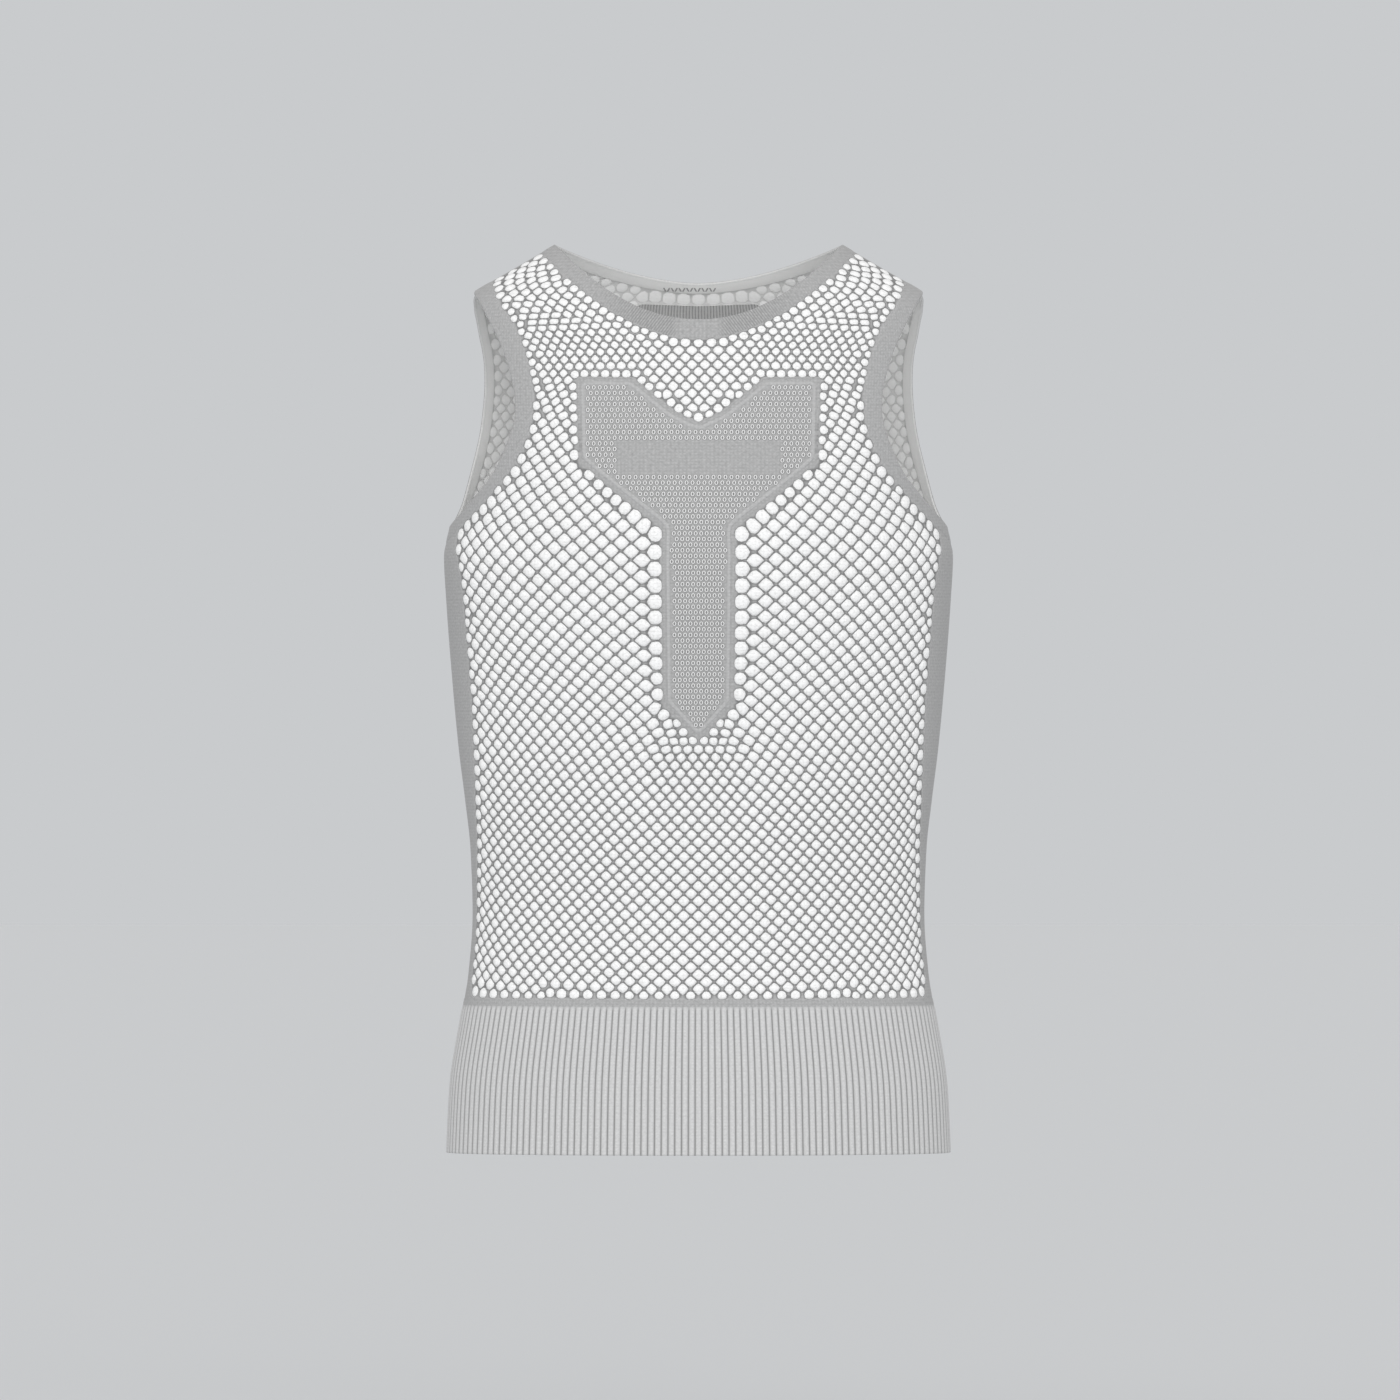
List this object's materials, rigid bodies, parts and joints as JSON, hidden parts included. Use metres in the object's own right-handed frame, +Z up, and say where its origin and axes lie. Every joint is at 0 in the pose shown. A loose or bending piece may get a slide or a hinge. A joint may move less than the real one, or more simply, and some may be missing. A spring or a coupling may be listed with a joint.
{
  "type": "sleeveless mesh base layer",
  "caption": "Close-fitting sleeveless base layer in open net, with a Y-shaped dense knit chest panel, bound neck and armholes, and a deep ribbed waistband.",
  "frame": {"origin": "midway between the two points where the shoulder seams meet the neck, where the wearer's shoulders hold the garment", "axes": "+Z up, +Y towards the wearer's back, +X towards the wearer's left; the front faces -Y"},
  "size_m": [0.3676, 0.2171, 0.6591],
  "materials": {
    "net_ground": "matt fine white knit",
    "net_strand": "matt grey yarn",
    "dense_knit": "matt grey knit",
    "rib_knit": "matt light grey rib"
  },
  "bodies": {
    "root": {"front_mesh_panel": "net_ground", "back_mesh_panel": "net_ground", "chest_panel": "dense_knit", "nape_panel": "dense_knit", "side_panel_left": "dense_knit", "side_panel_right": "dense_knit", "waist_border": "dense_knit", "rib_waistband": "rib_knit", "neck_band": "dense_knit", "armhole_band_left": "dense_knit", "armhole_band_right": "dense_knit"}
  },
  "joints": []
}
